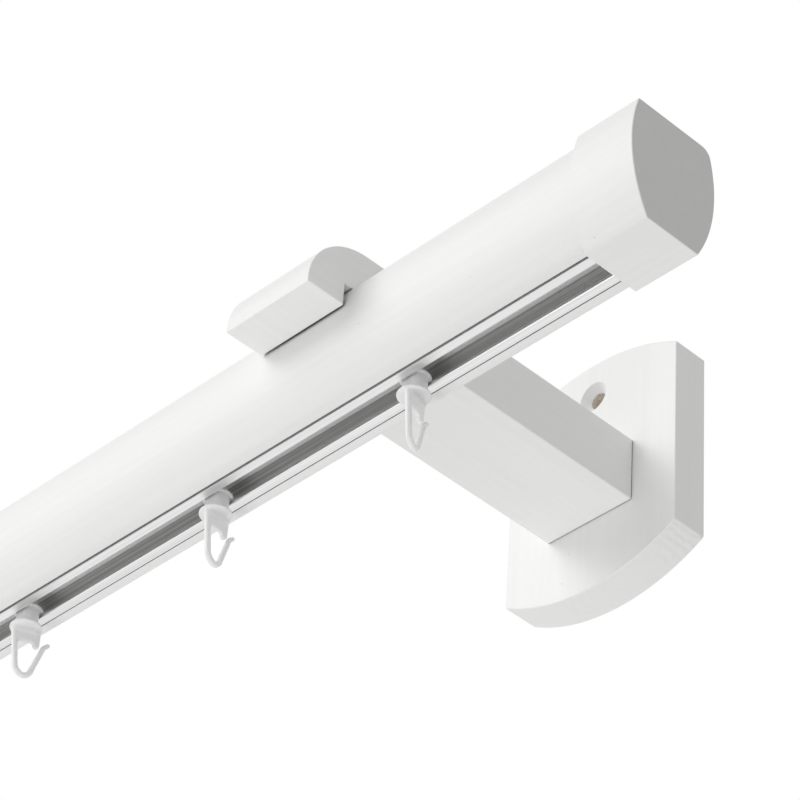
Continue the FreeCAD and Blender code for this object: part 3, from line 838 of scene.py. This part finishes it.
# The wall plate has straight sides and a bulging top and bottom, in the same lacquered wood. A
# countersunk hole above the arm takes the wall screw. Its bore stayed clear of the lacquer, so it
# shows bare wood. A second countersunk hole, in the back, takes the screw that holds the arm.
plate_side_height = 55.4 * mm
plate_bulge = 7.7 * mm
plate_edge_round = 0.4 * mm
wall_hole_height = 0.0
wall_hole_radius = 2.35 * mm
wall_hole_mouth = 4.4 * mm
arm_screw_head_radius = 4.4 * mm
arm_screw_radius = 2.25 * mm
to_wall = Vector((0, 1, 0))
arm_low, arm_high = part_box("bracket_arm_right")
arm_height = (arm_low.z + arm_high.z) / 2
plate_grain_depth = 0.005 * mm
fibre_width = 0.35 * mm
fibre_length = 2 * mm
fibre_depth = 0.15 * mm
saw_mark_spacing = 0.9 * mm
saw_mark_depth = 0.1 * mm
saw_mark_reach = 11.0 * mm
saw_mark_inset = 3 * mm


def wall_plate(name, node):
    low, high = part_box(node)
    size = high - low
    half = Vector((size.y, plate_side_height, size.x)) / 2
    plate = bulging_bar(name, -half, half, plate_side_height, plate_side_height, plate_bulge)
    plate.rotation_euler = (math.radians(90), 0, math.radians(90))
    plate.location = (low + high) / 2
    deselect_all()
    plate.select_set(True)
    bpy.context.view_layer.objects.active = plate
    bpy.ops.object.transform_apply()
    round_edges(plate, plate_edge_round, segments=4,
                test=lambda edge: near(middle(edge).y, low.y)
                or (runs_along(edge, 1) and edge.calc_face_angle(0) > math.radians(20)))
    middle_x = (low.x + high.x) / 2
    drill(plate, Vector((middle_x, low.y, wall_hole_height)), to_wall,
          mouth_radius=wall_hole_mouth, bore_radius=wall_hole_radius, depth=size.y + past_end)
    drill(plate, Vector((middle_x, high.y, arm_height)), -to_wall,
          mouth_radius=arm_screw_head_radius + screw_clearance,
          bore_radius=arm_screw_radius + screw_clearance, depth=size.y + past_end)
    smooth(plate)
    return plate


def bare_beech():
    """Beech without lacquer.

    It gives the eye a warm brown with darker pores and a fuzz of torn fibres, as a drill leaves them.
    """
    material, tree, shader = new_material("bare_beech")
    fibres = add_node(tree, "ShaderNodeTexNoise", {"Scale": 1.0, "Detail": 6.0, "Distortion": 0.2},
                      Vector=object_pattern(tree, fibre_width, fibre_length)).outputs["Fac"]
    tint = add_node(tree, "ShaderNodeValToRGB", Fac=fibres)
    tint.color_ramp.elements[0].position = 0.35
    tint.color_ramp.elements[0].color = linear("#C9BAA8")
    tint.color_ramp.elements[1].position = 0.6
    tint.color_ramp.elements[1].color = linear("#F6F0E8")
    tree.links.new(tint.outputs["Color"], shader.inputs["Base Color"])
    bump = add_node(tree, "ShaderNodeBump", {"Strength": 1.0, "Distance": fibre_depth}, Height=fibres)
    tree.links.new(bump.outputs["Normal"], shader.inputs["Normal"])
    shader.inputs["Roughness"].default_value = 0.85
    return material


beech = bare_beech()


def saw_marked(material, corner):
    """Lets the ripples of the saw show through the lacquer near one corner."""
    tree = material.node_tree
    normal = tree.nodes["Principled BSDF"].inputs["Normal"]
    bands = {"bands_direction": "Z", "Scale": 0.3, "Distortion": 5.0}
    ripples = add_node(tree, "ShaderNodeTexWave", bands,
                       Vector=object_pattern(tree, saw_mark_spacing, saw_mark_spacing * 3))
    away = add_node(tree, "ShaderNodeVectorMath", {"operation": "DISTANCE"})
    tree.links.new(add_node(tree, "ShaderNodeTexCoord").outputs["Object"], away.inputs[0])
    away.inputs[1].default_value = corner
    reach = {"From Min": saw_mark_reach, "From Max": saw_mark_reach / 2}
    fade = add_node(tree, "ShaderNodeMapRange", reach, Value=away.outputs["Value"])
    height = add_node(tree, "ShaderNodeMath", {"operation": "MULTIPLY"})
    tree.links.new(ripples.outputs["Fac"], height.inputs[0])
    tree.links.new(fade.outputs["Result"], height.inputs[1])
    bump = add_node(tree, "ShaderNodeBump", {"Strength": 1.0, "Distance": saw_mark_depth},
                    Height=height.outputs["Value"], Normal=normal.links[0].from_socket)
    tree.links.new(bump.outputs["Normal"], normal)


def is_in_bore(face, bore):
    away = math.hypot(face.center.x - bore.x, face.center.z - bore.z)
    return abs(face.normal.y) < 0.1 and away < wall_hole_radius


def is_lower_edge(face):
    return abs(face.normal.y) < 0.1 and face.normal.z < -0.5 and face.center.z < lower_corner


plate_wood = white_lacquered_wood("lacquered_plate_wood", along_z, plate_grain_depth)
sawn_wood = white_lacquered_wood("lacquered_sawn_wood", along_z, plate_grain_depth)
right_low, right_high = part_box("wall_plate_right")
lower_corner = (right_low.z + right_high.z - plate_side_height) / 2
plate_middle = (right_low.y + right_high.y) / 2
saw_marked(sawn_wood, (right_high.x - saw_mark_inset, plate_middle, lower_corner))
for side in ("right", "left"):
    node = "wall_plate_" + side
    low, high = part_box(node)
    plate = wall_plate("plate_" + side, node)
    dress(plate, plate_wood, "rod", "white_lacquered_wood", node)
    bore = Vector(((low.x + high.x) / 2, 0, wall_hole_height))
    add_material(plate, beech, lambda face: is_in_bore(face, bore))
    add_material(plate, sawn_wood, is_lower_edge)

# A countersunk screw goes down through each arm into the pole. A longer one goes through each wall
# plate from behind into the end of its arm. Both are pressed steel, zinc plated, with a cross recess.
pole_screw_length = 24.0 * mm
arm_screw_length = 45.0 * mm
head_edge = 0.1 * mm
pole_recess_reach = 2.2 * mm
pole_recess_depth = 1.6 * mm
arm_recess_reach = 2.5 * mm
arm_recess_depth = 1.8 * mm


def countersunk(head_radius, shank_radius):
    """The rings of a flat head: a small bevel at its rim, then a cone down to the shank."""
    return [(head_radius - 3 * head_edge, 0), (head_radius - head_edge, head_edge),
            (shank_radius, head_radius - shank_radius)]


plain_pole_screw = screw("pole_screw", countersunk(pole_screw_head_radius, pole_screw_radius),
                         pole_screw_length, pole_recess_reach, pole_recess_depth)
plain_arm_screw = screw("arm_screw", countersunk(arm_screw_head_radius, arm_screw_radius),
                        arm_screw_length, arm_recess_reach, arm_recess_depth)
for side in ("right", "left"):
    low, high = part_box("bracket_arm_" + side)
    plate_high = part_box("wall_plate_" + side)[1]
    middle_x = (low.x + high.x) / 2
    pole_screw = copied(plain_pole_screw, "pole_screw_" + side, (middle_x, pole_axis.y, high.z), down)
    dress(pole_screw, zinc, "rod", "zinc_plated_steel", "pole_screws")
    arm_screw_place = (middle_x, plate_high.y, arm_height)
    arm_screw = copied(plain_arm_screw, "arm_screw_" + side, arm_screw_place, -to_wall)
    dress(arm_screw, zinc, "rod", "zinc_plated_steel", "arm_screws")
for plain in (plain_pole_screw, plain_arm_screw):
    bpy.data.objects.remove(plain)

# The wooden dowels in the caps and the pegs between plate and arm are hidden inside the wood. They
# are fluted beech, and stay as drawn, in the material of bare beech.
for node in ("cap_dowels", "arm_pegs"):
    hidden_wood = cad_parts[node]
    hidden_wood.data.materials.clear()
    hidden_wood.data.materials.append(beech)

# The photograph is taken from below, from the right and from the front, with a long lens.
camera_place = Vector((895.58, -506.94, -564.53)) * mm
camera_azimuth = math.radians(48.156)
camera_elevation = math.radians(-39.009)
camera_roll = math.radians(4.218)
picture_width = 800
focal_length = 3522.69
sensor_width = 36.0
back = Vector((math.sin(camera_azimuth) * math.cos(camera_elevation),
               -math.cos(camera_azimuth) * math.cos(camera_elevation), math.sin(camera_elevation)))
level_right = (-back).cross(Vector((0, 0, 1))).normalized()
level_up = level_right.cross(-back)
right = level_right * math.cos(camera_roll) + level_up * math.sin(camera_roll)
up = level_up * math.cos(camera_roll) - level_right * math.sin(camera_roll)
camera = bpy.data.objects.new("camera", bpy.data.cameras.new("camera"))
bpy.context.scene.collection.objects.link(camera)
camera.matrix_world = Matrix.Translation(camera_place) @ Matrix((right, up, back)).transposed().to_4x4()
camera.data.sensor_width = sensor_width
camera.data.lens = focal_length / picture_width * sensor_width
camera.data.clip_start = 0.01
bpy.context.scene.camera = camera

# A plain white floor lies under the camera. It is lit mostly from behind, so that it looks white and
# metal mirrors it as white. From below it can be seen through, and never hides the rod.
floor_height = -1.4
floor_size = 12.0
deselect_all()
bpy.ops.mesh.primitive_plane_add(size=floor_size, location=(0, 0, floor_height))
floor = named("floor")
paper, tree, shader = new_material("white_floor_paper")
shader.inputs["Base Color"].default_value = linear("#F2F2F2")
shader.inputs["Roughness"].default_value = 0.9
paths = add_node(tree, "ShaderNodeLightPath")
seen_glow = add_node(tree, "ShaderNodeMapRange", {"To Max": 0.75}, Value=paths.outputs["Is Camera Ray"])
glow_share = add_node(tree, "ShaderNodeMath", {"operation": "MAXIMUM"})
tree.links.new(seen_glow.outputs["Result"], glow_share.inputs[0])
tree.links.new(paths.outputs["Is Glossy Ray"], glow_share.inputs[1])
glow = add_node(tree, "ShaderNodeEmission", {"Strength": 0.95})
lit_paper = add_node(tree, "ShaderNodeMixShader", Fac=glow_share.outputs["Value"])
tree.links.new(shader.outputs["BSDF"], lit_paper.inputs[1])
tree.links.new(glow.outputs["Emission"], lit_paper.inputs[2])
behind = add_node(tree, "ShaderNodeNewGeometry").outputs["Backfacing"]
see_through = add_node(tree, "ShaderNodeMixShader", Fac=behind)
tree.links.new(lit_paper.outputs["Shader"], see_through.inputs[1])
tree.links.new(add_node(tree, "ShaderNodeBsdfTransparent").outputs["BSDF"], see_through.inputs[2])
tree.links.new(see_through.outputs["Shader"], tree.nodes["Material Output"].inputs["Surface"])
floor.data.materials.append(paper)

# A large softbox stands in front, to the left and above. A small one near the floor lifts the
# underside, which the photograph is taken from. The world is white where it is looked at and
# mirrored, and lights the rod softly all round.
ambient = 0.53
world = bpy.data.worlds.new("studio")
bpy.context.scene.world = world
world.use_nodes = True
tree = world.node_tree
paths = add_node(tree, "ShaderNodeLightPath")
looked_at = add_node(tree, "ShaderNodeMath", {"operation": "MAXIMUM"})
tree.links.new(paths.outputs["Is Camera Ray"], looked_at.inputs[0])
tree.links.new(paths.outputs["Is Transmission Ray"], looked_at.inputs[1])
mirrored = add_node(tree, "ShaderNodeMath", {"operation": "MAXIMUM"})
tree.links.new(looked_at.outputs["Value"], mirrored.inputs[0])
tree.links.new(paths.outputs["Is Glossy Ray"], mirrored.inputs[1])
strength = add_node(tree, "ShaderNodeMapRange", {"To Min": ambient, "To Max": 1.0},
                    Value=mirrored.outputs["Value"])
tree.links.new(strength.outputs["Result"], tree.nodes["Background"].inputs["Strength"])
tree.nodes["Background"].inputs["Color"].default_value = (1, 1, 1, 1)


def softbox(name, place, target, size, watts):
    lamp = bpy.data.lights.new(name, "AREA")
    lamp.shape = "SQUARE"
    lamp.size = size
    lamp.energy = watts
    stand = bpy.data.objects.new(name, lamp)
    bpy.context.scene.collection.objects.link(stand)
    stand.location = place
    stand.visible_camera = False
    stand.rotation_euler = (Vector(target) - Vector(place)).to_track_quat("-Z", "Y").to_euler()


softbox("key_softbox", place=(-1.1, -2.2, 1.8), target=(0.1, 0, 0), size=2.2, watts=43)
softbox("low_softbox", place=(0.2, -0.4, -1.15), target=(0.2, -0.1, 0), size=0.5, watts=2.9)
bpy.context.scene.view_settings.view_transform = "Standard"
